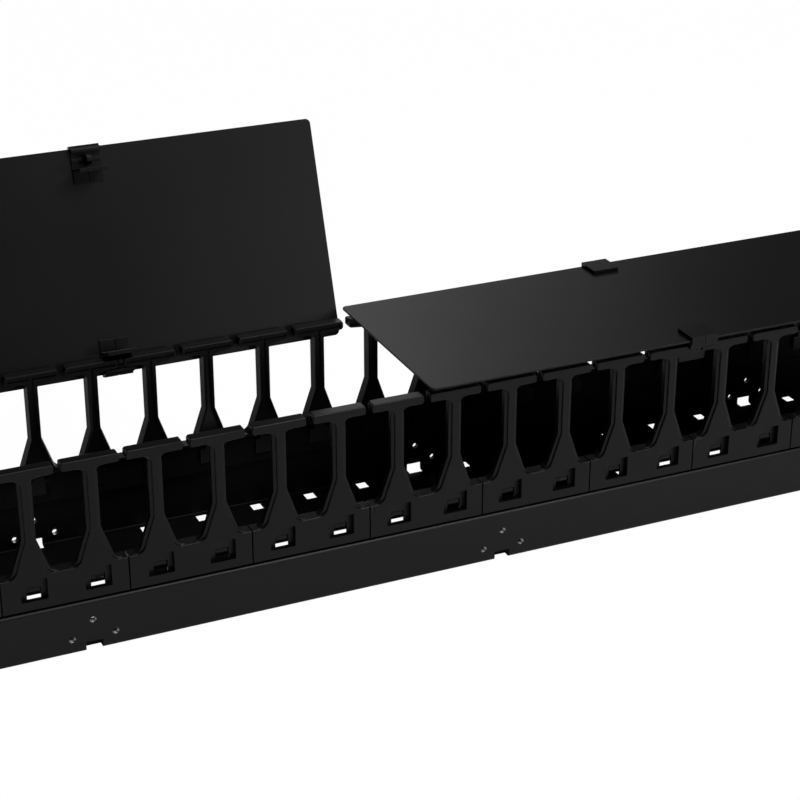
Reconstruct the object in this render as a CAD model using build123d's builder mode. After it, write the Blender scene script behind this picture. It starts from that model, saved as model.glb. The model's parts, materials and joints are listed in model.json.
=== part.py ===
from build123d import *
from math import hypot
import os

os.makedirs("parts", exist_ok=True)

# Vertical cable manager, lying on its back plate: +X along it, +Z out of the back plate.
# The origin is the centre of the back plate's outer face, and all sizes are in mm.

# Overall: one pitch is one rack unit, and the two covers meet over the origin
PITCH = 44.45
PITCH_COUNT = 22
LENGTH = PITCH * PITCH_COUNT

# Steel channel: folded sheet with a joggle that sets the upper walls in behind the modules
SHEET = 1.5
CHANNEL_HALF_WIDTH = 79.3
JOGGLE_HEIGHT = 38.5
JOGGLE_DEPTH = 5.4
WALL_TOP = 62.9
BEND_RADIUS = 1.75
UPPER_WALL_HALF_WIDTH = CHANNEL_HALF_WIDTH - JOGGLE_DEPTH

# Openings in the channel's back plate, their ends in pitches
BACK_OPENING_WIDTH = 80.0
BACK_OPENING_CORNER = 3.0
BACK_OPENINGS = [(-9.9, -7.9), (-6.4, -4.4), (-2.3, 0.65), (4.65, 7.6)]

# Small holes along both edges of the back plate, set in from the walls' outer faces
FLOOR_HOLE_LENGTH = 9.0
FLOOR_HOLE_WIDTH = 11.0
FLOOR_HOLE_SHIFT = 12.5
FLOOR_HOLE_INSET = 9.3
FLOOR_SLOT_LENGTH = 12.5
FLOOR_SLOT_WIDTH = 3.0
FLOOR_SLOT_SHIFT = -10.0
FLOOR_SLOT_INSET = 8.8

# Threaded hole groups in the lower walls, each over a notch in the fold
GROUP_SPACING = 7 * PITCH
GROUP_CENTRE = 61.0
THREAD_HOLE_RADIUS = 2.3
THREAD_HOLE_HALF_SPACING = 15.3
THREAD_HOLE_HEIGHT = 11.0
UPPER_THREAD_HOLE_RISE = 12.6
NOTCH_LENGTH = 12.0
NOTCH_REACH = 7.0

# Latch holes in the upper walls, each a little to one side of its finger
LATCH_HOLE_LENGTH = 9.9
LATCH_HOLE_SHIFT = 1.05
LATCH_HOLE_BOTTOM = 45.5
LATCH_HOLE_TOP = 54.8

# Finger module: a moulded shell with two fingers, open to the inside
SEAM = 1.0
FIT = 0.1
BASE_DEPTH = 4.2
BASE_RISE = 1.7
SKIN = 2.3
RIB = 1.8
SHELF_CLEARANCE = 0.3
SHELF_THICKNESS = 2.1
SHELF_DEPTH = 10.0
MODULE_HALF_LENGTH = PITCH - SEAM / 2
MODULE_FACE = UPPER_WALL_HALF_WIDTH + FIT + BASE_DEPTH
MODULE_BOTTOM = JOGGLE_HEIGHT + BASE_RISE
SHELF_BOTTOM = WALL_TOP + SHELF_CLEARANCE
SHELF_TOP = SHELF_BOTTOM + SHELF_THICKNESS

# Fingers: a splayed foot, a straight post and a T head
FINGER_DEPTH = 8.8
OPENING_HALF_WIDTH = 19.5
OPENING_FOOT_HALF_WIDTH = 10.3
FOOT_TOP = 92.0
FOOT_CHAMFER = 3.0
HEAD_HAUNCH = 3.5
HEAD_BOTTOM = 137.8
HEAD_HEIGHT = 6.4
HEAD_GAP = 4.95
HEAD_TOP = HEAD_BOTTOM + HEAD_HEIGHT
HEAD_LENGTH = PITCH - HEAD_GAP
POST_HALF_WIDTH = PITCH / 2 - OPENING_HALF_WIDTH
FOOT_HALF_WIDTH = PITCH / 2 - OPENING_FOOT_HALF_WIDTH
FOOT_SLOPE = (FOOT_HALF_WIDTH - POST_HALF_WIDTH) / (FOOT_TOP - SHELF_TOP)

# Window in the module's base, and the latch: an arm behind the wall with a hook through it
WINDOW_LENGTH = 18.5
WINDOW_SHIFT = 0.5
WINDOW_BOTTOM = 46.7
WINDOW_HEIGHT = 15.9
ARM_CLEARANCE = 0.2
ARM_THICKNESS = 2.2
HOOK_CLEARANCE = 0.3
HOOK_SIDE_CLEARANCE = 0.2
HOOK_SLIT = 1.0
HOOK_FACE_HEIGHT = 2.8
HOOK_RAMP_HEIGHT = 2.6

# Cover pivots: the middle of the T heads
PIVOT_HALF_SPAN = MODULE_FACE - FINGER_DEPTH / 2
PIVOT_HEIGHT = HEAD_BOTTOM + HEAD_HEIGHT / 2
SOCKET_WIDTH = 3.6
SOCKET_DEPTH = 0.8
OPEN_ANGLE = 109.5

# Covers: two flat plates, end to end
COVER_GAP = 3.0
COVER_OVERHANG = 9.0
COVER_THICKNESS = 1.5
COVER_STANDOFF = 4.8
COVER_CORNER = 4.0
COVER_HALF_WIDTH = PIVOT_HALF_SPAN + COVER_OVERHANG
COVER_BOTTOM = HEAD_TOP + COVER_STANDOFF

# Clips: heights are above the pivot, reaches are outward from it
CLIP_PITCHES = [5, 10]
CLIP_HALF_LENGTH = 11.0
CLIP_PLATE_IN = 10.0
CLIP_PLATE_THICKNESS = 2.6
CLIP_WALL_THICKNESS = 1.7
CLIP_WALL_BOTTOM = 6.2
CLIP_COVER_FIT = 0.1
CLIP_EDGE_FIT = 0.2
CLIP_TONGUE_THICKNESS = 1.2
CLIP_TONGUE_REACH = 16.4
CLIP_TURN_CLEARANCE = 0.36
CLIP_JAW_BOTTOM = 2.0
CLIP_JAW_CHAMFER = 1.2
CLIP_LEG_THICKNESS = 1.5
CLIP_LEG_BOTTOM = -14.0
CLIP_LIP_THICKNESS = 3.0
CLIP_LIP_HEIGHT = 2.6
CLIP_PAD_WIDTH = 2.5
CLIP_PAD_GAP = 4.6
CLIP_WEB_CLEARANCE = 0.675
CLIP_WEB_REACH = 3.6
CLIP_WEB_CHAMFER = 2.1
CLIP_GROOVE = 0.8
CLIP_GROOVE_DEPTH = 0.5
STUD_CLEARANCE = 0.3
STUD_SIDES = 8

COVER_BOTTOM_RISE = COVER_BOTTOM - PIVOT_HEIGHT
COVER_TOP_RISE = COVER_BOTTOM_RISE + COVER_THICKNESS


# Channel: the section is one sheet folded along its middle line, then punched
MID_WALL = CHANNEL_HALF_WIDTH - SHEET / 2
MID_UPPER_WALL = UPPER_WALL_HALF_WIDTH - SHEET / 2
MID_FLOOR = SHEET / 2
MID_JOGGLE = JOGGLE_HEIGHT - SHEET / 2

with BuildPart() as channel:
    with BuildSketch(Plane.YZ) as section:
        with BuildLine() as fold:
            FilletPolyline(
                (-MID_UPPER_WALL, WALL_TOP),
                (-MID_UPPER_WALL, MID_JOGGLE),
                (-MID_WALL, MID_JOGGLE),
                (-MID_WALL, MID_FLOOR),
                (MID_WALL, MID_FLOOR),
                (MID_WALL, MID_JOGGLE),
                (MID_UPPER_WALL, MID_JOGGLE),
                (MID_UPPER_WALL, WALL_TOP),
                radius=BEND_RADIUS,
            )
            offset(amount=SHEET / 2, side=Side.BOTH)
        make_face()
    extrude(amount=LENGTH / 2, both=True)
    split(bisect_by=Plane.XY.offset(WALL_TOP), keep=Keep.BOTTOM)

    # Large openings down the middle of the back plate
    for low, high in BACK_OPENINGS:
        with BuildSketch(Plane.XY) as opening:
            with Locations(((low + high) / 2 * PITCH, 0)):
                Rectangle((high - low) * PITCH, BACK_OPENING_WIDTH)
            chamfer(opening.vertices(), BACK_OPENING_CORNER)
        extrude(amount=SHEET, mode=Mode.SUBTRACT)

    # Notches across the bottom folds, under the threaded holes
    groups = [GROUP_CENTRE + step * GROUP_SPACING for step in (-1, 0, 1)]
    for side in (-1, 1):
        with BuildSketch(Plane.XY):
            with Locations(*[(x, side * (CHANNEL_HALF_WIDTH - NOTCH_REACH / 2)) for x in groups]):
                Rectangle(NOTCH_LENGTH, NOTCH_REACH)
        extrude(amount=NOTCH_REACH, mode=Mode.SUBTRACT)

    # Square holes and slots along the edges of the back plate, left out where a notch is
    with BuildSketch(Plane.XY):
        for step in range(-PITCH_COUNT // 2, PITCH_COUNT // 2):
            x = step * PITCH + FLOOR_HOLE_SHIFT
            if min(abs(x - group) for group in groups) > NOTCH_LENGTH:
                with Locations((x, 0)):
                    with GridLocations(0, 2 * (CHANNEL_HALF_WIDTH - FLOOR_HOLE_INSET), 1, 2):
                        Rectangle(FLOOR_HOLE_LENGTH, FLOOR_HOLE_WIDTH)
        with Locations((PITCH / 2 + FLOOR_SLOT_SHIFT, 0)):
            with GridLocations(PITCH, 2 * (CHANNEL_HALF_WIDTH - FLOOR_SLOT_INSET), PITCH_COUNT, 2):
                Rectangle(FLOOR_SLOT_LENGTH, FLOOR_SLOT_WIDTH)
    extrude(amount=SHEET, mode=Mode.SUBTRACT)

    # Latch holes, one behind every finger: the two walls' holes are shifted opposite ways
    for wall in (Plane.front, Plane.back):
        with BuildSketch(wall):
            with Locations((LATCH_HOLE_SHIFT, (LATCH_HOLE_BOTTOM + LATCH_HOLE_TOP) / 2)):
                with GridLocations(PITCH, 0, PITCH_COUNT, 1):
                    Rectangle(LATCH_HOLE_LENGTH, LATCH_HOLE_TOP - LATCH_HOLE_BOTTOM)
        extrude(amount=CHANNEL_HALF_WIDTH, mode=Mode.SUBTRACT)

    # Threaded holes, three to a group, through both lower walls
    with BuildSketch(Plane.XZ):
        for x in groups:
            with Locations(
                (x - THREAD_HOLE_HALF_SPACING, THREAD_HOLE_HEIGHT),
                (x + THREAD_HOLE_HALF_SPACING, THREAD_HOLE_HEIGHT),
                (x, THREAD_HOLE_HEIGHT + UPPER_THREAD_HOLE_RISE),
            ):
                Circle(THREAD_HOLE_RADIUS)
    extrude(amount=CHANNEL_HALF_WIDTH, both=True, mode=Mode.SUBTRACT)

channel.part.label = "channel"
export_step(channel.part, "parts/channel.step")


# Finger module, built on the near side with its middle at x = 0
FINGERS = (-PITCH / 2, PITCH / 2)
FACE = Plane.XZ.offset(MODULE_FACE)
FINGER_INSIDE = Plane.XZ.offset(MODULE_FACE - FINGER_DEPTH)
BASE_INSIDE = Plane.XZ.offset(MODULE_FACE - BASE_DEPTH)
ARM_FACE = UPPER_WALL_HALF_WIDTH - SHEET - ARM_CLEARANCE
ARM_BACK = ARM_FACE - ARM_THICKNESS
HOOK_LENGTH = LATCH_HOLE_LENGTH - HOOK_SIDE_CLEARANCE - HOOK_SLIT
HOOK_SHIFT = LATCH_HOLE_SHIFT - LATCH_HOLE_LENGTH / 2 + HOOK_SIDE_CLEARANCE + HOOK_LENGTH / 2
HOOK_TOP = LATCH_HOLE_TOP - HOOK_CLEARANCE
HOOK_FACE_BOTTOM = HOOK_TOP - HOOK_FACE_HEIGHT


def mirrored_outline(centre, right):
    """A closed outline from its right half, mirrored about the given x."""
    left = [(-x, z) for x, z in reversed(right)]
    return [(centre + x, z) for x, z in right + left]


with BuildPart() as module:
    # Skin of the base, as deep as the gap to the steel wall
    with BuildSketch(FACE):
        with Locations((0, (MODULE_BOTTOM + SHELF_TOP) / 2)):
            Rectangle(2 * MODULE_HALF_LENGTH, SHELF_TOP - MODULE_BOTTOM)
    extrude(amount=-BASE_DEPTH)

    # Shelf over the wall's top edge
    with BuildSketch(FACE):
        with Locations((0, (SHELF_BOTTOM + SHELF_TOP) / 2)):
            Rectangle(2 * MODULE_HALF_LENGTH, SHELF_THICKNESS)
    extrude(amount=-SHELF_DEPTH)

    # Fingers: foot, post and head in one outline, with haunches under the head
    for centre in FINGERS:
        with BuildSketch(FACE) as outline:
            with BuildLine():
                Polyline(
                    *mirrored_outline(
                        centre,
                        [
                            (FOOT_HALF_WIDTH + FOOT_CHAMFER, SHELF_TOP),
                            (FOOT_HALF_WIDTH - FOOT_CHAMFER * FOOT_SLOPE, SHELF_TOP + FOOT_CHAMFER),
                            (POST_HALF_WIDTH, FOOT_TOP),
                            (POST_HALF_WIDTH, HEAD_BOTTOM),
                            (HEAD_LENGTH / 2, HEAD_BOTTOM),
                            (HEAD_LENGTH / 2, HEAD_TOP),
                        ],
                    ),
                    close=True,
                )
            make_face()
            under_head = outline.vertices().group_by(Axis.Y)[-2].sort_by(Axis.X)[1:3]
            chamfer(under_head, HEAD_HAUNCH)
        extrude(amount=-FINGER_DEPTH)

    # Pockets from the inside, which leave a wall all round each finger
    for centre in FINGERS:
        with BuildSketch(FINGER_INSIDE):
            with BuildLine():
                Polyline(
                    *mirrored_outline(
                        centre,
                        [
                            (FOOT_HALF_WIDTH - RIB, SHELF_TOP),
                            (POST_HALF_WIDTH - RIB, FOOT_TOP),
                            (POST_HALF_WIDTH - RIB, HEAD_BOTTOM + RIB),
                            (HEAD_LENGTH / 2 - RIB, HEAD_BOTTOM + RIB),
                            (HEAD_LENGTH / 2 - RIB, HEAD_TOP - RIB),
                        ],
                    ),
                    close=True,
                )
            make_face()
        extrude(amount=FINGER_DEPTH - SKIN, mode=Mode.SUBTRACT)

    # Windows, through the whole base
    with BuildSketch(FACE):
        with Locations((WINDOW_SHIFT, WINDOW_BOTTOM + WINDOW_HEIGHT / 2)):
            with GridLocations(PITCH, 0, 2, 1):
                Rectangle(WINDOW_LENGTH, WINDOW_HEIGHT)
    extrude(amount=-BASE_DEPTH, mode=Mode.SUBTRACT)

    # Hollow between the windows, against the steel wall
    with BuildSketch(BASE_INSIDE):
        with Locations((WINDOW_SHIFT, (MODULE_BOTTOM + SHELF_BOTTOM) / 2)):
            Rectangle(PITCH - WINDOW_LENGTH - 2 * RIB, SHELF_BOTTOM - MODULE_BOTTOM - 2 * RIB)
    extrude(amount=BASE_DEPTH - SKIN, mode=Mode.SUBTRACT)

    # Latches: an arm behind the wall, whose hook goes out through it and ends in a ramp
    for centre in FINGERS:
        with BuildSketch(Plane.YZ.offset(centre + HOOK_SHIFT)):
            with BuildLine():
                Polyline(
                    (-ARM_FACE, SHELF_BOTTOM),
                    (-ARM_FACE, HOOK_TOP),
                    (-UPPER_WALL_HALF_WIDTH, HOOK_TOP),
                    (-UPPER_WALL_HALF_WIDTH, HOOK_FACE_BOTTOM),
                    (-ARM_BACK, HOOK_FACE_BOTTOM - HOOK_RAMP_HEIGHT),
                    (-ARM_BACK, SHELF_BOTTOM),
                    close=True,
                )
            make_face()
        extrude(amount=HOOK_LENGTH / 2, both=True)

    # Square sockets for the clips' studs in the ends of the heads
    for centre in FINGERS:
        for end in (-1, 1):
            head_end = Plane(
                origin=(centre + end * HEAD_LENGTH / 2, -PIVOT_HALF_SPAN, PIVOT_HEIGHT),
                z_dir=(-end, 0, 0),
            )
            with BuildSketch(head_end):
                Rectangle(SOCKET_WIDTH, SOCKET_WIDTH)
            extrude(amount=SOCKET_DEPTH, mode=Mode.SUBTRACT)

for index in range(PITCH_COUNT // 2):
    shift = (2 * index + 1) * PITCH - LENGTH / 2
    for side, turn in (("near", 0), ("far", 180)):
        name = f"fingers_{side}_{index + 1:02d}"
        copy = Location((shift, 0, 0), (0, 0, turn)) * module.part
        copy.label = name
        export_step(copy, f"parts/{name}.step")


# Cover, built closed on the +X side
with BuildPart() as cover:
    cover_length = (LENGTH - COVER_GAP) / 2
    with BuildSketch(Plane.XY.offset(COVER_BOTTOM)):
        with Locations((COVER_GAP / 2 + cover_length / 2, 0)):
            RectangleRounded(cover_length, 2 * COVER_HALF_WIDTH, COVER_CORNER)
    extrude(amount=COVER_THICKNESS)

# The -X cover stands open: it is turned back about the far rail
far_rail = Axis((0, PIVOT_HALF_SPAN, PIVOT_HEIGHT), (1, 0, 0))
right_cover = cover.part
right_cover.label = "cover_right"
export_step(right_cover, "parts/cover_right.step")
left_cover = (Location((0, 0, 0), (0, 0, 180)) * cover.part).rotate(far_rail, -OPEN_ANGLE)
left_cover.label = "cover_left"
export_step(left_cover, "parts/cover_left.step")


def make_clip(stud_reach):
    """Clip on the near rail with the pivot at the origin, and its studs out to the given reach."""
    tongue_bottom = COVER_BOTTOM_RISE - CLIP_COVER_FIT - CLIP_TONGUE_THICKNESS
    tongue_top = COVER_BOTTOM_RISE - CLIP_COVER_FIT
    plate_bottom = COVER_TOP_RISE + CLIP_COVER_FIT
    plate_top = plate_bottom + CLIP_PLATE_THICKNESS
    wall_in = COVER_OVERHANG + CLIP_EDGE_FIT
    wall_out = wall_in + CLIP_WALL_THICKNESS
    turn_reach = hypot(FINGER_DEPTH, HEAD_HEIGHT) / 2 + CLIP_TURN_CLEARANCE
    leg_back = turn_reach + CLIP_LEG_THICKNESS
    lip_back = turn_reach + CLIP_LIP_THICKNESS
    lip_top = CLIP_LEG_BOTTOM + CLIP_LIP_HEIGHT
    with BuildPart() as clip:
        # Section that grips the cover's edge: plate, wall, jaw, leg, lip and tongue
        with BuildSketch(Plane.YZ) as grip:
            with BuildLine():
                Polyline(
                    (CLIP_PLATE_IN, plate_top),
                    (-wall_out, plate_top),
                    (-wall_out, CLIP_WALL_BOTTOM),
                    (-wall_in, CLIP_WALL_BOTTOM),
                    (-wall_in, CLIP_JAW_BOTTOM),
                    (-turn_reach, CLIP_JAW_BOTTOM),
                    (-turn_reach, tongue_bottom),
                    (turn_reach, tongue_bottom),
                    (turn_reach, CLIP_LEG_BOTTOM),
                    (lip_back, CLIP_LEG_BOTTOM),
                    (lip_back, lip_top),
                    (leg_back, lip_top),
                    (leg_back, tongue_bottom),
                    (CLIP_TONGUE_REACH, tongue_bottom),
                    (CLIP_TONGUE_REACH, tongue_top),
                    (-wall_in, tongue_top),
                    (-wall_in, plate_bottom),
                    (CLIP_PLATE_IN, plate_bottom),
                    close=True,
                )
            make_face()
            jaw_edge = grip.vertices().sort_by_distance((-wall_in, CLIP_JAW_BOTTOM))[0]
            chamfer(jaw_edge, CLIP_JAW_CHAMFER)
        extrude(amount=CLIP_HALF_LENGTH, both=True)

        # Pads over the heads, one each side of the gap
        with BuildSketch(Plane.XY.offset(turn_reach)):
            Rectangle(2 * CLIP_HALF_LENGTH, CLIP_PAD_WIDTH)
            Rectangle(CLIP_PAD_GAP, CLIP_PAD_WIDTH, mode=Mode.SUBTRACT)
        extrude(amount=tongue_bottom - turn_reach)

        # Web down the gap between two heads, to below the pivot
        with BuildSketch(Plane.YZ) as web:
            with Locations((0, (tongue_bottom - CLIP_WEB_REACH) / 2)):
                Rectangle(2 * CLIP_WEB_REACH, tongue_bottom + CLIP_WEB_REACH)
            chamfer(web.vertices().group_by(Axis.Y)[0], CLIP_WEB_CHAMFER)
        extrude(amount=HEAD_GAP / 2 - CLIP_WEB_CLEARANCE, both=True)

        # Eight-sided studs on both faces of the web
        with BuildSketch(Plane.YZ):
            RegularPolygon(SOCKET_WIDTH / 2 - STUD_CLEARANCE, STUD_SIDES)
        extrude(amount=stud_reach, both=True)

        # Grooves down the middle of the wall and of the tongue's free end
        with BuildSketch(Plane.XZ.offset(wall_out)):
            with Locations((0, (CLIP_WALL_BOTTOM + plate_top) / 2)):
                Rectangle(CLIP_GROOVE, plate_top - CLIP_WALL_BOTTOM)
        extrude(amount=-CLIP_GROOVE_DEPTH, mode=Mode.SUBTRACT)
        with BuildSketch(Plane.XY.offset(tongue_bottom)):
            with Locations((0, (leg_back + CLIP_TONGUE_REACH) / 2)):
                Rectangle(CLIP_GROOVE, CLIP_TONGUE_REACH - leg_back)
        extrude(amount=CLIP_GROOVE_DEPTH, mode=Mode.SUBTRACT)
    return clip.part


# Hinge clips carry full studs, and the clips on the loose edge carry short ones
hinge_clip = make_clip(HEAD_GAP / 2 + SOCKET_DEPTH - STUD_CLEARANCE)
loose_clip = make_clip(HEAD_GAP / 2 - STUD_CLEARANCE)

for index, step in enumerate(CLIP_PITCHES):
    # Right cover: closed, hinged on the near rail
    x = step * PITCH
    near = Location((x, -PIVOT_HALF_SPAN, PIVOT_HEIGHT))
    far = Location((x, PIVOT_HALF_SPAN, PIVOT_HEIGHT), (0, 0, 180))
    for name, part in (("hinge", near * hinge_clip), ("loose", far * loose_clip)):
        part.label = f"clip_right_{name}_{index + 1}"
        export_step(part, f"parts/{part.label}.step")

    # Left cover: open, hinged on the far rail
    x = -(step - 1) * PITCH
    near = Location((x, -PIVOT_HALF_SPAN, PIVOT_HEIGHT))
    far = Location((x, PIVOT_HALF_SPAN, PIVOT_HEIGHT), (0, 0, 180))
    for name, part in (("hinge", far * hinge_clip), ("loose", near * loose_clip)):
        opened = part.rotate(far_rail, -OPEN_ANGLE)
        opened.label = f"clip_left_{name}_{index + 1}"
        export_step(opened, f"parts/{opened.label}.step")
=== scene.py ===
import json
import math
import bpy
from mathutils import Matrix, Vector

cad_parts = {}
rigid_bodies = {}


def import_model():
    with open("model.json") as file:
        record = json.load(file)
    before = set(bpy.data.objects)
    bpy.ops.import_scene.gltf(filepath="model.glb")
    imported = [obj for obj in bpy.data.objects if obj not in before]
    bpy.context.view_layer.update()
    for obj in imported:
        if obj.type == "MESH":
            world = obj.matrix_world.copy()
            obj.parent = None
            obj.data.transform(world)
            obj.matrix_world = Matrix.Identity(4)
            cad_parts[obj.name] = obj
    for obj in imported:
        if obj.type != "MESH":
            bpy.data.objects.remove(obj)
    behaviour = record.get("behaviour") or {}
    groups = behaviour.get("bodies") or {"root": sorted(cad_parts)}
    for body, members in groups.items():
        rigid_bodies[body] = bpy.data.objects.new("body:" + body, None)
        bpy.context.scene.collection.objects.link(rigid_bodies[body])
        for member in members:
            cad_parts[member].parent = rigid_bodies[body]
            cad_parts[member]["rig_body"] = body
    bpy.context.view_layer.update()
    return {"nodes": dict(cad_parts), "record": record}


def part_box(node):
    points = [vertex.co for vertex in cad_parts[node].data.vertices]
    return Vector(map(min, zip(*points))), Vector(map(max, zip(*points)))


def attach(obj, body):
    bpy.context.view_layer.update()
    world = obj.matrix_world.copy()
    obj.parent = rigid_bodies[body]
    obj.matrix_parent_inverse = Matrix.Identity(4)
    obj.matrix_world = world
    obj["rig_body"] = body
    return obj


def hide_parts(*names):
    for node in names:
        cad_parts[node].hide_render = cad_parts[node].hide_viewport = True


bl_info = {
    "name": "Vertical Cable Manager",
    "version": (1, 0, 0),
    "blender": (4, 5, 0),
    "location": "View3D > Sidebar > Cable Manager",
    "description": "Dresses a folded steel channel with cable fingers and two clipped covers",
    "category": "Object",
}

import bmesh
import bpy
from mathutils import Matrix, Vector

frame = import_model()

MM = 0.001
WELD_DISTANCE = 0.002 * MM
FLAT_ANGLE = math.radians(0.4)
CREASE_ANGLE = math.radians(50.0)
TOUCH = 0.01 * MM

# Heights and lengths that tell the fingers' edges apart
SHELF_TOP = 65.3 * MM
FINGER_PITCH = 44.45 * MM
FINGER_DEPTH = 8.8 * MM
FINGER_SKIN = 2.3 * MM
RIB_FOOT = 1.7 * MM
RIM_DEPTH = 2.2 * MM
HEAD_HEIGHT = 6.4 * MM
HAUNCH = 3.5 * MM
FOOT_TOP = 92.0 * MM
FOOT_CHAMFER = 3.0 * MM

# The latch behind the wall: its arm's back, its face, and the height of its ramp's inner tip
ARM_BACK = 70.0 * MM
ARM_FACE = 72.2 * MM
RAMP_TIP = 49.1 * MM
RAMP_LOW = 46.9 * MM
PAD_TOP = 58.6 * MM
PAD_REACH = 4.0 * MM

# The steel's thickness, and how a hole's collar and thread are seated and divided
SHEET = 1.5 * MM
OPENING_ROUND = 1.2 * MM
SMALL_HOLES_FROM = 60.0 * MM
SLOT_EDGE = 72.0 * MM
SLOT_TIGHTER = 0.5 * MM
COLLAR_LENGTH = 2.6 * MM
COLLAR_WALL = 0.9 * MM
COLLAR_STEPS = 28
THREAD_SEAT = 0.02 * MM
THREAD_SHARE = 0.8
THREAD_STEPS = 20


# Node groups that more than one material uses


def new_group(name, inputs, outputs):
    """Empty shader node group with float inputs (name, default) and float outputs."""
    group = bpy.data.node_groups.new(name, "ShaderNodeTree")
    for label, default in inputs:
        socket = group.interface.new_socket(label, in_out="INPUT", socket_type="NodeSocketFloat")
        socket.default_value = default
    for label in outputs:
        group.interface.new_socket(label, in_out="OUTPUT", socket_type="NodeSocketFloat")
    start = group.nodes.new("NodeGroupInput")
    end = group.nodes.new("NodeGroupOutput")
    return group, start, end


def add_noise(tree, scale, detail, roughness):
    """Noise texture on Object coordinates."""
    noise = tree.nodes.new("ShaderNodeTexNoise")
    noise.inputs["Scale"].default_value = scale
    noise.inputs["Detail"].default_value = detail
    noise.inputs["Roughness"].default_value = roughness
    return noise


def build_grain_group():
    """Fine pebble of a powder coat or an etched mould, as a height and as a mask of its hollows."""
    group, start, end = new_group(
        "fine_grain", [("Scale", 2500.0), ("Softness", 0.5)], ["Height", "Hollows"]
    )
    coordinates = group.nodes.new("ShaderNodeTexCoord")
    pebbles = group.nodes.new("ShaderNodeTexVoronoi")
    pebbles.feature = "SMOOTH_F1"
    ripple = add_noise(group, 1.0, 3.0, 0.6)
    blend = group.nodes.new("ShaderNodeMix")
    hollows = group.nodes.new("ShaderNodeMapRange")
    hollows.inputs["From Min"].default_value = 0.35
    hollows.inputs["From Max"].default_value = 0.75
    link = group.links.new
    link(coordinates.outputs["Object"], pebbles.inputs["Vector"])
    link(coordinates.outputs["Object"], ripple.inputs["Vector"])
    link(start.outputs["Scale"], pebbles.inputs["Scale"])
    link(start.outputs["Scale"], ripple.inputs["Scale"])
    link(start.outputs["Softness"], blend.inputs["Factor"])
    link(pebbles.outputs["Distance"], blend.inputs["A"])
    link(ripple.outputs["Fac"], blend.inputs["B"])
    link(blend.outputs["Result"], hollows.inputs["Value"])
    link(blend.outputs["Result"], end.inputs["Height"])
    link(hollows.outputs["Result"], end.inputs["Hollows"])
    return group


def build_cloud_group():
    """Slow drift over a large surface, from 0 to 1: uneven coat thickness, handling and dust."""
    group, start, end = new_group("slow_cloud", [("Scale", 8.0), ("Contrast", 0.35)], ["Cloud"])
    coordinates = group.nodes.new("ShaderNodeTexCoord")
    cloud = add_noise(group, 1.0, 4.0, 0.55)
    low = group.nodes.new("ShaderNodeMath")
    low.operation = "SUBTRACT"
    low.inputs[0].default_value = 0.5
    high = group.nodes.new("ShaderNodeMath")
    high.operation = "ADD"
    high.inputs[0].default_value = 0.5
    ramp = group.nodes.new("ShaderNodeMapRange")
    link = group.links.new
    link(coordinates.outputs["Object"], cloud.inputs["Vector"])
    link(start.outputs["Scale"], cloud.inputs["Scale"])
    link(start.outputs["Contrast"], low.inputs[1])
    link(start.outputs["Contrast"], high.inputs[1])
    link(cloud.outputs["Fac"], ramp.inputs["Value"])
    link(low.outputs[0], ramp.inputs["From Min"])
    link(high.outputs[0], ramp.inputs["From Max"])
    link(ramp.outputs["Result"], end.inputs["Cloud"])
    return group


def group_node(tree, name, **values):
    """Places a named group in a material with its own values."""
    node = tree.nodes.new("ShaderNodeGroup")
    node.node_tree = bpy.data.node_groups[name]
    for label, value in values.items():
        node.inputs[label].default_value = value
    return node


def coated_material(name, dark, light, roughness, spread, specular, grain_scale, grain_depth, cloud_scale):
    """Black finish with a fine grain, and a slow change of colour and roughness over it."""
    material = bpy.data.materials.new(name)
    material.use_nodes = True
    tree = material.node_tree
    shader = tree.nodes["Principled BSDF"]
    shader.inputs["Specular IOR Level"].default_value = specular
    shader.inputs["Metallic"].default_value = 0.0
    grain = group_node(tree, "fine_grain", Scale=grain_scale, Softness=0.5)
    cloud = group_node(tree, "slow_cloud", Scale=cloud_scale, Contrast=0.25)

    colour = tree.nodes.new("ShaderNodeMix")
    colour.data_type = "RGBA"
    colour.inputs["A"].default_value = (*dark, 1.0)
    colour.inputs["B"].default_value = (*light, 1.0)
    amount = tree.nodes.new("ShaderNodeMath")
    amount.operation = "MULTIPLY_ADD"
    amount.inputs[1].default_value = 0.35

    gloss = tree.nodes.new("ShaderNodeMapRange")
    gloss.inputs["To Min"].default_value = roughness - spread
    gloss.inputs["To Max"].default_value = roughness + spread

    bump = tree.nodes.new("ShaderNodeBump")
    bump.inputs["Strength"].default_value = 0.5
    bump.inputs["Distance"].default_value = grain_depth
    link = tree.links.new
    link(grain.outputs["Hollows"], amount.inputs[0])
    link(cloud.outputs["Cloud"], amount.inputs[2])
    link(amount.outputs[0], colour.inputs["Factor"])
    link(colour.outputs["Result"], shader.inputs["Base Color"])
    link(cloud.outputs["Cloud"], gloss.inputs["Value"])
    link(gloss.outputs["Result"], shader.inputs["Roughness"])
    link(grain.outputs["Height"], bump.inputs["Height"])
    link(bump.outputs["Normal"], shader.inputs["Normal"])
    return material


def build_steel_material(name, specular, settings):
    """Matt black powder coat on the channel; the copy for its inside reflects less, as painted shade in the channel."""
    return coated_material(
        name,
        (0.001, 0.001, 0.0011),
        (0.0026, 0.0026, 0.0028),
        settings.steel_roughness,
        0.04,
        specular,
        1600.0,
        0.00004,
        7.0,
    )


def build_cover_material(settings):
    """Finer black powder coat on the covers."""
    return coated_material(
        "cover_coat",
        (0.001, 0.001, 0.0011),
        (0.0022, 0.0022, 0.0024),
        settings.cover_roughness,
        0.03,
        settings.cover_specular,
        2200.0,
        0.00003,
        5.0,
    )


def build_plastic_material(settings):
    """Moulded black plastic with an etched skin."""
    return coated_material(
        "moulded_black",
        (0.0008, 0.0008, 0.0009),
        (0.002, 0.002, 0.0022),
        settings.plastic_roughness,
        0.05,
        settings.plastic_specular,
        3000.0,
        0.00002,
        14.0,
    )


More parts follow.
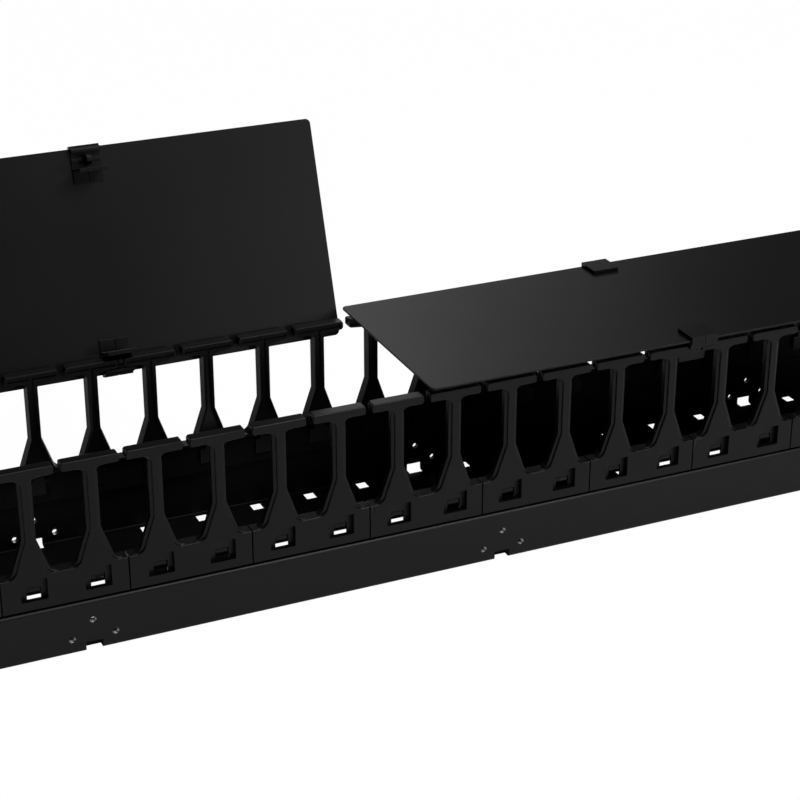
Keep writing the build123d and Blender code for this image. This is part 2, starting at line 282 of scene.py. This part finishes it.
def build_thread_material(settings):
    """Bare cut steel of the threads, with a little oil and colour in the grooves."""
    material = bpy.data.materials.new("cut_thread")
    material.use_nodes = True
    tree = material.node_tree
    shader = tree.nodes["Principled BSDF"]
    shader.inputs["Metallic"].default_value = 1.0
    cloud = group_node(tree, "slow_cloud", Scale=900.0, Contrast=0.3)
    colour = tree.nodes.new("ShaderNodeMix")
    colour.data_type = "RGBA"
    colour.inputs["A"].default_value = (0.16, 0.16, 0.155, 1.0)
    colour.inputs["B"].default_value = (0.5, 0.495, 0.48, 1.0)
    gloss = tree.nodes.new("ShaderNodeMapRange")
    gloss.inputs["To Min"].default_value = 0.22
    gloss.inputs["To Max"].default_value = 0.42
    link = tree.links.new
    link(cloud.outputs["Cloud"], colour.inputs["Factor"])
    link(cloud.outputs["Cloud"], gloss.inputs["Value"])
    link(colour.outputs["Result"], shader.inputs["Base Color"])
    link(gloss.outputs["Result"], shader.inputs["Roughness"])
    return material


# Meshes


def finished_object(name, mesh, body, material):
    """Object for a finished mesh, riding on its body."""
    piece = bpy.data.objects.new(name, mesh)
    bpy.context.scene.collection.objects.link(piece)
    mesh.materials.clear()
    mesh.materials.append(material)
    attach(piece, body)
    return piece


def merged_copy(node):
    """Copy of a CAD node's mesh with its doubles merged and its flat faces joined."""
    shape = bmesh.new()
    shape.from_mesh(frame["nodes"][node].data)
    bmesh.ops.remove_doubles(shape, verts=shape.verts, dist=WELD_DISTANCE)
    bmesh.ops.dissolve_limit(
        shape, angle_limit=FLAT_ANGLE, verts=shape.verts, edges=shape.edges, use_dissolve_boundaries=False
    )
    return shape


def round_edges(shape, width, segments, wanted, least_angle=32.0):
    """Rounds every edge that is sharper than the given angle in degrees and passes the test."""
    chosen = [
        edge
        for edge in shape.edges
        if len(edge.link_faces) == 2
        and math.degrees(edge.calc_face_angle(0.0)) > least_angle
        and wanted(edge)
    ]
    bmesh.ops.bevel(
        shape,
        geom=chosen,
        affect="EDGES",
        offset=width,
        offset_type="OFFSET",
        segments=segments,
        profile=0.5,
        clamp_overlap=True,
        material=-1,
    )


def any_edge(edge):
    return True


def runs_along(edge, axis):
    """Whether an edge is parallel to the axis with the given number."""
    step = edge.verts[1].co - edge.verts[0].co
    return all(abs(step[other]) < TOUCH for other in range(3) if other != axis)


def lies_at(edge, axis, place):
    """Whether both ends of an edge have the given coordinate along an axis."""
    return all(abs(vertex.co[axis] - place) < TOUCH for vertex in edge.verts)


def angle_is(edge, angle):
    """Whether an edge's faces meet within a few degrees of the given angle."""
    return abs(math.degrees(edge.calc_face_angle(0.0)) - angle) < 4.0


def round_sheet(shape):
    """Rounds the large openings' corners and draws the narrow slots' outer edges in a little."""
    for vertex in shape.verts:
        if vertex.co.z < SHEET + TOUCH and abs(abs(vertex.co.y) - SLOT_EDGE) < TOUCH:
            vertex.co.y -= math.copysign(SLOT_TIGHTER, vertex.co.y)
    round_edges(shape, OPENING_ROUND, 3, lambda edge: runs_along(edge, 2) and angle_is(edge, 45.0))


def not_small_hole(edge):
    """Leaves out the small punched holes along the back plate's sides, which stay crisp."""
    middle = (edge.verts[0].co + edge.verts[1].co) / 2
    length = edge.calc_length()
    return middle.z > SHEET + TOUCH or abs(middle.y) < SMALL_HOLES_FROM or length > FINGER_PITCH


def widen_fingers(shape, low, high, settings):
    """Gives each finger its flare towards the inside, and a shallow hollow instead of a pocket."""
    front = low.y if low.y < 0 else high.y
    side = math.copysign(1.0, front)
    inner = abs(front) - FINGER_DEPTH
    hollow = abs(front) - FINGER_SKIN
    middle = (low.x + high.x) / 2
    head_bottom = high.z - HEAD_HEIGHT
    haunch_bottom = head_bottom - HAUNCH - settings.haunch_round
    for depth in (RIB_FOOT, RIM_DEPTH):
        walls = [
            face
            for face in shape.faces
            if abs(face.normal.y) < 0.1 and face.calc_center_median().z > SHELF_TOP + TOUCH
        ]
        edges = {edge for face in walls for edge in face.edges}
        plane = Vector((0.0, front - side * depth, 0.0))
        bmesh.ops.bisect_plane(
            shape, geom=[*walls, *edges], dist=TOUCH, plane_co=plane, plane_no=(0.0, side, 0.0)
        )
    for vertex in shape.verts:
        place = vertex.co
        if place.z < SHELF_TOP - TOUCH:
            continue
        at_rim = abs(abs(front) - RIM_DEPTH - abs(place.y)) < TOUCH
        if abs(abs(place.y) - hollow) < TOUCH:
            place.y = side * (inner + settings.hollow_depth)
        elif abs(abs(place.y) - inner) > TOUCH and not at_rim:
            continue
        centre = middle + math.copysign(FINGER_PITCH / 2, place.x - middle)
        reach = place.x - centre
        rise = (place.z - haunch_bottom) / (head_bottom - haunch_bottom)
        drop = min(max(rise, 0.0), 1.0)
        if place.z > head_bottom + TOUCH or abs(reach) > FINGER_PITCH * 0.4:
            continue
        climb = min((place.z - SHELF_TOP) / (FOOT_TOP - SHELF_TOP), 1.0)
        flare = settings.foot_flare + climb * (settings.post_flare - settings.foot_flare)
        if at_rim:
            flare = settings.rim_reach
        place.x += math.copysign(flare * (1.0 - drop), reach)
        place.z -= settings.haunch_flare * drop


def widen_latches(shape):
    """Gives each latch its ramp's full length, and a wide pad behind the wall."""
    for vertex in shape.verts:
        if abs(abs(vertex.co.y) - ARM_BACK) < TOUCH and abs(vertex.co.z - RAMP_TIP) < TOUCH:
            vertex.co.z = RAMP_LOW

    def arm_sides():
        return [
            face
            for face in shape.faces
            if abs(face.normal.x) > 0.99
            and RAMP_LOW - TOUCH < min(vertex.co.z for vertex in face.verts)
            and max(vertex.co.z for vertex in face.verts) < SHELF_TOP - TOUCH
            and min(abs(vertex.co.y) for vertex in face.verts) < ARM_BACK + TOUCH
        ]

    cuts = [((0.0, 0.0, PAD_TOP), (0.0, 0.0, 1.0))]
    cuts += [((0.0, side * ARM_FACE, 0.0), (0.0, side, 0.0)) for side in (-1.0, 1.0)]
    for point, normal in cuts:
        sides = arm_sides()
        edges = {edge for face in sides for edge in face.edges}
        bmesh.ops.bisect_plane(shape, geom=[*sides, *edges], dist=TOUCH, plane_co=point, plane_no=normal)
    for face in arm_sides():
        heights = [vertex.co.z for vertex in face.verts]
        depths = [abs(vertex.co.y) for vertex in face.verts]
        if max(heights) > PAD_TOP + TOUCH or max(depths) > ARM_FACE + TOUCH:
            continue
        step = Vector((math.copysign(PAD_REACH, face.normal.x), 0.0, 0.0))
        grown = bmesh.ops.extrude_face_region(shape, geom=[face])
        moved = [item for item in grown["geom"] if isinstance(item, bmesh.types.BMVert)]
        bmesh.ops.translate(shape, verts=moved, vec=step)
        bmesh.ops.delete(shape, geom=[face], context="FACES_ONLY")


def round_fingers(shape, low, high, settings):
    """Rounds the haunches, feet and heads of a finger module as the mould does."""
    front = low.y if low.y < 0 else high.y
    inner = front - math.copysign(FINGER_DEPTH, front)
    head_top = high.z
    head_bottom = head_top - HEAD_HEIGHT

    def outline_corner(edge):
        return runs_along(edge, 1) and abs(edge.calc_length() - FINGER_DEPTH) < TOUCH

    def haunch(edge):
        height = edge.verts[0].co.z
        return outline_corner(edge) and angle_is(edge, 45.0) and height > head_bottom - HAUNCH - TOUCH

    def foot(edge):
        return outline_corner(edge) and edge.verts[0].co.z < SHELF_TOP + FOOT_CHAMFER + TOUCH

    def head_corner(edge):
        return outline_corner(edge) and angle_is(edge, 90.0) and edge.verts[0].co.z > head_bottom - TOUCH

    def front_outline(edge):
        return lies_at(edge, 1, front) and min(vertex.co.z for vertex in edge.verts) > SHELF_TOP - TOUCH

    def head_back(edge):
        return lies_at(edge, 1, inner) and lies_at(edge, 2, head_top)

    round_edges(shape, settings.haunch_round, 3, haunch)
    round_edges(shape, settings.foot_round, 3, foot, 20.0)
    round_edges(shape, settings.head_round, 2, head_corner)
    round_edges(shape, settings.front_round, 4, front_outline, 60.0)
    widen_fingers(shape, low, high, settings)
    round_edges(shape, settings.head_round, 3, head_back, 60.0)


def dress_node(node, name, body, material, width, segments, shaping=None, wanted=any_edge):
    """Rounded copy of a CAD node that stands for it."""
    shape = merged_copy(node)
    if shaping:
        shaping(shape)
    round_edges(shape, width, segments, wanted)
    for face in shape.faces:
        face.smooth = True
    for edge in shape.edges:
        edge.smooth = edge.calc_face_angle(0.0) < CREASE_ANGLE
    mesh = bpy.data.meshes.new(name)
    shape.to_mesh(mesh)
    shape.free()
    piece = finished_object(name, mesh, body, material)
    shading = piece.modifiers.new("even_shading", "WEIGHTED_NORMAL")
    shading.keep_sharp = True
    shading.weight = 90
    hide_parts(node)
    return piece


def hole_places():
    """Centre and outward direction of every threaded hole, from the record's mounts."""
    places = []
    for mount in frame["record"]["mounts"]:
        centre = Vector(mount["pos_m"])
        outward = math.copysign(1.0, centre.y)
        if mount["kind"] == "bolt_pattern":
            half = mount["dims"]["spacing_x_mm"] * MM / 2
            places += [(centre + Vector((side * half, 0.0, 0.0)), outward) for side in (-1, 1)]
        elif mount["kind"] == "threaded_hole":
            places.append((centre, outward))
    return places


def paint_shade_inside(piece, material):
    """Puts the copy of the coat that reflects less, as painted shade, on the faces that look into the channel."""
    piece.data.materials.append(material)
    heart = Vector((0.0, 0.0, SHELF_TOP))
    for face in piece.data.polygons:
        towards = heart - face.center
        towards.x = 0.0
        if face.normal.dot(towards.normalized()) > 0.3:
            face.material_index = 1


def draw_collars(settings):
    """A short collar drawn inwards from the wall round each threaded hole."""
    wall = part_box("channel")[1][1]
    shape = bmesh.new()
    for centre, outward in hole_places():
        bore = settings.thread_bore + THREAD_SEAT
        root = outward * (wall - SHEET + THREAD_SEAT)
        tip = outward * (wall - SHEET - COLLAR_LENGTH)
        axis_point = Vector((centre.x, 0.0, centre.z))
        section = [(bore, root), (bore + COLLAR_WALL, root), (bore + COLLAR_WALL, tip), (bore, tip)]
        corners = [shape.verts.new(axis_point + Vector((reach, depth, 0.0))) for reach, depth in section]
        edges = [shape.edges.new((corners[i], corners[(i + 1) % 4])) for i in range(4)]
        bmesh.ops.spin(
            shape,
            geom=[*corners, *edges],
            cent=axis_point,
            axis=(0.0, 1.0, 0.0),
            dvec=(0.0, 0.0, 0.0),
            angle=math.tau,
            steps=COLLAR_STEPS,
            use_merge=True,
        )
    bmesh.ops.remove_doubles(shape, verts=shape.verts, dist=WELD_DISTANCE)
    bmesh.ops.recalc_face_normals(shape, faces=shape.faces)
    round_edges(shape, settings.steel_edge, 2, any_edge)
    for face in shape.faces:
        face.smooth = True
    mesh = bpy.data.meshes.new("hole_collars")
    shape.to_mesh(mesh)
    shape.free()
    return finished_object("hole_collars", mesh, "frame", bpy.data.materials["powder_coat"])


def cut_threads(settings):
    """One thread ridge that winds out through the collar and wall of each hole, seated on the bore."""
    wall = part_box("channel")[1][1]
    radius = settings.thread_bore + THREAD_SEAT
    half = settings.thread_pitch * THREAD_SHARE / 2
    depth = SHEET + COLLAR_LENGTH - 2 * half
    turns = depth / settings.thread_pitch
    steps = round(THREAD_STEPS * turns)
    shape = bmesh.new()
    for centre, outward in hole_places():
        start = Vector((centre.x, outward * (wall - SHEET - COLLAR_LENGTH + half), centre.z))
        offsets = [(radius, -half), (radius - settings.thread_depth, 0.0), (radius, half)]
        corners = [shape.verts.new(start + Vector((reach, rise, 0.0))) for reach, rise in offsets]
        profile = shape.faces.new(corners)
        bmesh.ops.spin(
            shape,
            geom=[*corners, *profile.edges, profile],
            cent=start,
            axis=(0.0, 1.0, 0.0),
            dvec=(0.0, outward * depth / steps, 0.0),
            angle=math.tau * turns,
            steps=steps,
            use_merge=False,
        )
    bmesh.ops.recalc_face_normals(shape, faces=shape.faces)
    mesh = bpy.data.meshes.new("hole_threads")
    shape.to_mesh(mesh)
    shape.free()
    return finished_object("hole_threads", mesh, "frame", bpy.data.materials["cut_thread"])


def nodes_named(prefix):
    """CAD nodes whose names start with the given words, in order."""
    found = sorted(name for name in frame["nodes"] if name.startswith(prefix))
    if not found:
        raise RuntimeError(f"no CAD node is named {prefix}")
    return found


def body_of(node):
    """Body that a CAD node rides on."""
    return frame["nodes"][node]["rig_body"]


# Settings


class CableManagerSettings(bpy.types.PropertyGroup):
    steel_edge: bpy.props.FloatProperty(
        name="Sheet edge", description="Radius of the sheet's cut edges", default=0.25 * MM, unit="LENGTH"
    )
    plastic_edge: bpy.props.FloatProperty(
        name="Moulded edge", description="Radius of the fingers' small edges", default=0.35 * MM, unit="LENGTH"
    )
    front_round: bpy.props.FloatProperty(
        name="Front round", description="Radius along the fingers' front outline", default=1.1 * MM, unit="LENGTH"
    )
    head_round: bpy.props.FloatProperty(
        name="Head round", description="Radius of the heads' corners and back edge", default=1.6 * MM, unit="LENGTH"
    )
    haunch_round: bpy.props.FloatProperty(
        name="Haunch round", description="Reach of the round under a head", default=2.0 * MM, unit="LENGTH"
    )
    foot_round: bpy.props.FloatProperty(
        name="Foot round", description="Reach of the round at a foot", default=1.6 * MM, unit="LENGTH"
    )
    post_flare: bpy.props.FloatProperty(
        name="Post flare", description="How far a post widens to the inside", default=1.1 * MM, unit="LENGTH"
    )
    foot_flare: bpy.props.FloatProperty(
        name="Foot flare", description="How far a foot widens to the inside", default=0.8 * MM, unit="LENGTH"
    )
    rim_reach: bpy.props.FloatProperty(
        name="Rim reach", description="How far the rim stands out beside the front rib", default=2.2 * MM, unit="LENGTH"
    )
    haunch_flare: bpy.props.FloatProperty(
        name="Haunch flare", description="How far a haunch drops to the inside", default=1.0 * MM, unit="LENGTH"
    )
    hollow_depth: bpy.props.FloatProperty(
        name="Hollow depth", description="Depth of the hollow inside a finger", default=1.6 * MM, unit="LENGTH"
    )
    thread_bore: bpy.props.FloatProperty(
        name="Thread bore", description="Radius of the threaded holes", default=2.3 * MM, unit="LENGTH"
    )
    thread_pitch: bpy.props.FloatProperty(
        name="Thread pitch", description="Distance between two thread crests", default=0.6 * MM, unit="LENGTH"
    )
    thread_depth: bpy.props.FloatProperty(
        name="Thread depth", description="Height of the thread's crest", default=0.35 * MM, unit="LENGTH"
    )
    clip_edge: bpy.props.FloatProperty(
        name="Clip edge", description="Radius of the clips' edges", default=0.3 * MM, unit="LENGTH"
    )
    steel_roughness: bpy.props.FloatProperty(
        name="Channel roughness", description="Roughness of the powder coat", default=0.42, subtype="FACTOR"
    )
    steel_specular: bpy.props.FloatProperty(
        name="Channel gloss", description="Strength of the powder coat's reflection", default=0.2, subtype="FACTOR"
    )
    # Weaker reflection on the channel's inside faces: painted shade for the dark cavity.
    painted_shade_specular: bpy.props.FloatProperty(
        name="Inside gloss", description="Strength of the reflection inside the channel", default=0.06, subtype="FACTOR"
    )
    cover_roughness: bpy.props.FloatProperty(
        name="Cover roughness", description="Roughness of the covers' coat", default=0.36, subtype="FACTOR"
    )
    cover_specular: bpy.props.FloatProperty(
        name="Cover gloss", description="Strength of the covers' reflection", default=0.2, subtype="FACTOR"
    )
    plastic_roughness: bpy.props.FloatProperty(
        name="Plastic roughness", description="Roughness of the moulded skin", default=0.3, subtype="FACTOR"
    )
    plastic_specular: bpy.props.FloatProperty(
        name="Plastic gloss", description="Strength of the plastic's reflection", default=0.17, subtype="FACTOR"
    )


# Operators


class CABLEMANAGER_OT_finishes(bpy.types.Operator):
    """Builds the node groups and materials"""

    bl_idname = "cablemanager.finishes"
    bl_label = "Build finishes"

    def execute(self, context):
        settings = context.scene.cable_manager
        build_grain_group()
        build_cloud_group()
        build_steel_material("powder_coat", settings.steel_specular, settings)
        # Copy of the coat with a weaker reflection, as painted shade for the channel's inside.
        build_steel_material("powder_coat_painted_shade", settings.painted_shade_specular, settings)
        build_cover_material(settings)
        build_plastic_material(settings)
        build_thread_material(settings)
        return {"FINISHED"}


class CABLEMANAGER_OT_channel(bpy.types.Operator):
    """Dresses the folded steel channel"""

    bl_idname = "cablemanager.channel"
    bl_label = "Dress channel"

    def execute(self, context):
        settings = context.scene.cable_manager
        coat = bpy.data.materials["powder_coat"]
        edge = settings.steel_edge
        dress_node("channel", "channel_sheet", "frame", coat, edge, 2, round_sheet, not_small_hole)
        # Painted shade: the inward faces get the copy of the coat that reflects less.
        paint_shade_inside(bpy.data.objects["channel_sheet"], bpy.data.materials["powder_coat_painted_shade"])
        draw_collars(settings)
        cut_threads(settings)
        return {"FINISHED"}


class CABLEMANAGER_OT_fingers(bpy.types.Operator):
    """Dresses the finger modules on both sides"""

    bl_idname = "cablemanager.fingers"
    bl_label = "Dress finger modules"

    def execute(self, context):
        settings = context.scene.cable_manager
        plastic = bpy.data.materials["moulded_black"]
        for node in nodes_named("fingers_"):
            low, high = (Vector(corner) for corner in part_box(node))

            def shaping(shape):
                widen_latches(shape)
                round_fingers(shape, low, high, settings)

            dress_node(node, node + "_moulding", "frame", plastic, settings.plastic_edge, 2, shaping)
        return {"FINISHED"}


class CABLEMANAGER_OT_covers(bpy.types.Operator):
    """Dresses the open and the closed cover"""

    bl_idname = "cablemanager.covers"
    bl_label = "Dress covers"

    def execute(self, context):
        settings = context.scene.cable_manager
        coat = bpy.data.materials["cover_coat"]
        for node in nodes_named("cover_"):
            dress_node(node, node + "_plate", body_of(node), coat, settings.steel_edge, 3)
        return {"FINISHED"}


class CABLEMANAGER_OT_clips(bpy.types.Operator):
    """Dresses the snap clips on the covers' edges"""

    bl_idname = "cablemanager.clips"
    bl_label = "Dress clips"

    def execute(self, context):
        settings = context.scene.cable_manager
        plastic = bpy.data.materials["moulded_black"]
        for node in nodes_named("clip_"):
            dress_node(node, node + "_moulding", body_of(node), plastic, settings.clip_edge, 2)
        return {"FINISHED"}


class CABLEMANAGER_OT_stage(bpy.types.Operator):
    """Sets the floor, lamps, world and camera"""

    bl_idname = "cablemanager.stage"
    bl_label = "Set stage"

    def execute(self, context):
        build_floor()
        build_world()
        build_lamps()
        build_camera()
        context.scene.view_settings.view_transform = "Standard"
        return {"FINISHED"}


# Stage


def build_floor():
    """Pale floor that keeps the object's shadow, white to the camera and clear from below."""
    shape = bmesh.new()
    bmesh.ops.create_circle(shape, cap_ends=True, segments=96, radius=14.0)
    bmesh.ops.translate(shape, verts=shape.verts, vec=(0.0, 0.0, -0.0004))
    mesh = bpy.data.meshes.new("floor")
    shape.to_mesh(mesh)
    shape.free()
    floor = bpy.data.objects.new("floor", mesh)
    bpy.context.scene.collection.objects.link(floor)
    material = bpy.data.materials.new("floor_white")
    material.use_nodes = True
    tree = material.node_tree
    tree.nodes.clear()
    output = tree.nodes.new("ShaderNodeOutputMaterial")
    diffuse = tree.nodes.new("ShaderNodeBsdfDiffuse")
    diffuse.inputs["Color"].default_value = (0.8, 0.8, 0.8, 1.0)
    white = tree.nodes.new("ShaderNodeEmission")
    white.inputs["Strength"].default_value = 1.0
    paths = tree.nodes.new("ShaderNodeLightPath")
    share = tree.nodes.new("ShaderNodeMath")
    share.operation = "MULTIPLY"
    share.inputs[1].default_value = 0.99
    lit = tree.nodes.new("ShaderNodeMixShader")
    clear = tree.nodes.new("ShaderNodeBsdfTransparent")
    side = tree.nodes.new("ShaderNodeNewGeometry")
    whole = tree.nodes.new("ShaderNodeMixShader")
    link = tree.links.new
    link(paths.outputs["Is Camera Ray"], share.inputs[0])
    link(share.outputs[0], lit.inputs["Fac"])
    link(diffuse.outputs["BSDF"], lit.inputs[1])
    link(white.outputs["Emission"], lit.inputs[2])
    link(side.outputs["Backfacing"], whole.inputs["Fac"])
    link(lit.outputs["Shader"], whole.inputs[1])
    link(clear.outputs["BSDF"], whole.inputs[2])
    link(whole.outputs["Shader"], output.inputs["Surface"])
    mesh.materials.append(material)


def build_world():
    """Soft grey light all round, and plain white where the camera looks past the floor."""
    world = bpy.data.worlds.new("studio")
    world.use_nodes = True
    tree = world.node_tree
    tree.nodes.clear()
    output = tree.nodes.new("ShaderNodeOutputWorld")
    soft = tree.nodes.new("ShaderNodeBackground")
    soft.inputs["Color"].default_value = (1.0, 1.0, 1.0, 1.0)
    soft.inputs["Strength"].default_value = 0.05
    white = tree.nodes.new("ShaderNodeBackground")
    white.inputs["Color"].default_value = (1.0, 1.0, 1.0, 1.0)
    white.inputs["Strength"].default_value = 1.0
    paths = tree.nodes.new("ShaderNodeLightPath")
    mix = tree.nodes.new("ShaderNodeMixShader")
    link = tree.links.new
    link(paths.outputs["Is Camera Ray"], mix.inputs["Fac"])
    link(soft.outputs["Background"], mix.inputs[1])
    link(white.outputs["Background"], mix.inputs[2])
    link(mix.outputs["Shader"], output.inputs["Surface"])
    bpy.context.scene.world = world


def add_area_lamp(name, place, target, size, power):
    """Square soft lamp that faces a point."""
    light = bpy.data.lights.new(name, "AREA")
    light.shape = "RECTANGLE"
    light.size, light.size_y = size
    light.energy = power
    lamp = bpy.data.objects.new(name, light)
    bpy.context.scene.collection.objects.link(lamp)
    aim = (Vector(target) - Vector(place)).to_track_quat("-Z", "Y")
    lamp.matrix_world = Matrix.Translation(Vector(place)) @ aim.to_matrix().to_4x4()
    return lamp


def build_lamps():
    """Broad lamps overhead, narrow ones behind and above for the edges, one in front and one beside."""
    add_area_lamp("top_softbox", (0.2, -0.2, 2.3), (0.0, 0.0, 0.0), (1.8, 1.4), 22.0)
    add_area_lamp("floor_softbox", (0.1, -1.5, 2.1), (0.0, -0.5, 0.0), (1.8, 1.2), 17.0)
    add_area_lamp("back_softbox", (0.95, 2.6, 1.41), (0.0, 0.0, 0.15), (0.6, 1.0), 2.1)
    add_area_lamp("back_right_softbox", (1.27, 2.46, 1.41), (0.1, 0.0, 0.15), (0.8, 1.2), 1.25)
    add_area_lamp("edge_softbox", (0.85, -0.85, 1.75), (0.05, -0.08, 0.12), (0.7, 0.6), 20.0)
    add_area_lamp("side_softbox", (3.0, -0.3, 0.55), (0.2, -0.08, 0.08), (2.4, 1.0), 1.2)
    add_area_lamp("front_softbox", (1.5, -2.6, 0.8), (-0.2, 0.1, 0.2), (1.0, 1.0), 11.0)


def build_camera():
    """Camera at the height and angle of the photograph."""
    data = bpy.data.cameras.new("camera")
    data.sensor_width = 36.0
    data.lens = 2057.65 / 800 * 36.0
    data.clip_start = 0.05
    data.clip_end = 100.0
    camera = bpy.data.objects.new("camera", data)
    bpy.context.scene.collection.objects.link(camera)
    azimuth = math.radians(-24.19)
    elevation = math.radians(24.89)
    turn = Matrix.Rotation(azimuth, 4, "Z")
    tilt = Matrix.Rotation(math.radians(90) - elevation, 4, "X")
    roll = Matrix.Rotation(math.radians(0.07), 4, "Z")
    place = Matrix.Translation(Vector((-554.1, -1264.2, 747.7)) * MM)
    camera.matrix_world = place @ turn @ tilt @ roll
    bpy.context.scene.camera = camera


class CABLEMANAGER_PT_panel(bpy.types.Panel):
    bl_idname = "CABLEMANAGER_PT_panel"
    bl_label = "Cable Manager"
    bl_space_type = "VIEW_3D"
    bl_region_type = "UI"
    bl_category = "Cable Manager"

    def draw(self, context):
        settings = context.scene.cable_manager
        for name in settings.bl_rna.properties.keys():
            if name not in {"rna_type", "name"}:
                self.layout.prop(settings, name)
        for operator in STEPS:
            self.layout.operator(operator.bl_idname)


STEPS = (
    CABLEMANAGER_OT_finishes,
    CABLEMANAGER_OT_channel,
    CABLEMANAGER_OT_fingers,
    CABLEMANAGER_OT_covers,
    CABLEMANAGER_OT_clips,
    CABLEMANAGER_OT_stage,
)
CLASSES = (CableManagerSettings, *STEPS, CABLEMANAGER_PT_panel)


def register():
    for item in CLASSES:
        bpy.utils.register_class(item)
    bpy.types.Scene.cable_manager = bpy.props.PointerProperty(type=CableManagerSettings)


def unregister():
    del bpy.types.Scene.cable_manager
    for item in reversed(CLASSES):
        bpy.utils.unregister_class(item)


def main():
    register()
    bpy.ops.cablemanager.finishes()
    bpy.ops.cablemanager.channel()
    bpy.ops.cablemanager.fingers()
    bpy.ops.cablemanager.covers()
    bpy.ops.cablemanager.clips()
    bpy.ops.cablemanager.stage()


if __name__ == "__main__":
    main()
